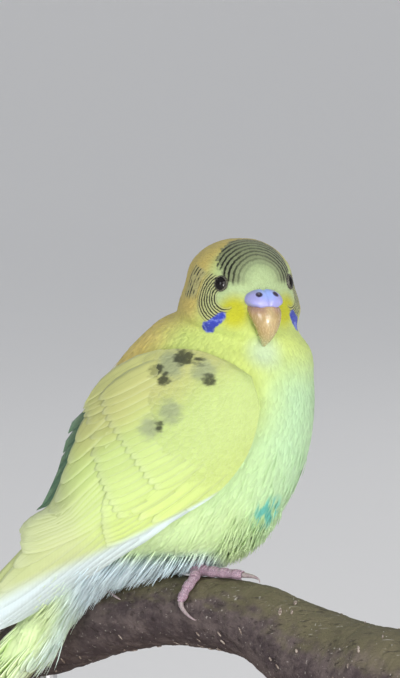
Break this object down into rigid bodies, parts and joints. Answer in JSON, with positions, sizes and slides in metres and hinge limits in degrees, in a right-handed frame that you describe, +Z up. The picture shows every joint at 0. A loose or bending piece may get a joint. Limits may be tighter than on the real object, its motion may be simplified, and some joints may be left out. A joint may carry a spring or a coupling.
{
  "type": "budgerigar model on perch",
  "caption": "Life-size still model of a yellow-faced green-yellow budgerigar gripping a cut length of branch, held by short rods on a flat display base.",
  "frame": {"origin": "middle of the underside of the display stand's base, which lies on the bird's own middle plane", "axes": "-Y the way the bird's breast points, +X to the bird's left, +Z up"},
  "size_m": [0.1077, 0.16, 0.1644],
  "materials": {
    "plumage": "soft small body feathers, yellow to yellow-green",
    "flight_feathers": "smooth overlapping vanes, pale yellow",
    "horn": "smooth horn, semi-gloss, orange-tan",
    "cere_skin": "smooth waxy skin, lavender blue",
    "eye": "wet, glossy black",
    "foot_skin": "fine scales, mauve pink",
    "bark": "dark weathered bark with pale flecks",
    "stand_wood": "satin varnished wood",
    "stand_metal": "brushed"
  },
  "bodies": {
    "root": {"head": "plumage", "neck": "plumage", "torso": "plumage", "leg_right": "plumage", "leg_left": "plumage", "wing_right": "flight_feathers", "wing_left": "flight_feathers", "tail": "flight_feathers", "bill_upper": "horn", "bill_lower": "horn", "cere": "cere_skin", "eye_right": "eye", "eye_left": "eye", "foot_right": "foot_skin", "foot_left": "foot_skin", "claw_right_1": "horn", "claw_right_2": "horn", "claw_right_3": "horn", "claw_right_4": "horn", "claw_left_1": "horn", "claw_left_2": "horn", "claw_left_3": "horn", "claw_left_4": "horn", "perch": "bark", "stand_base": "stand_wood", "stand_rod_front": "stand_metal", "stand_rod_rear": "stand_metal"}
  },
  "joints": []
}
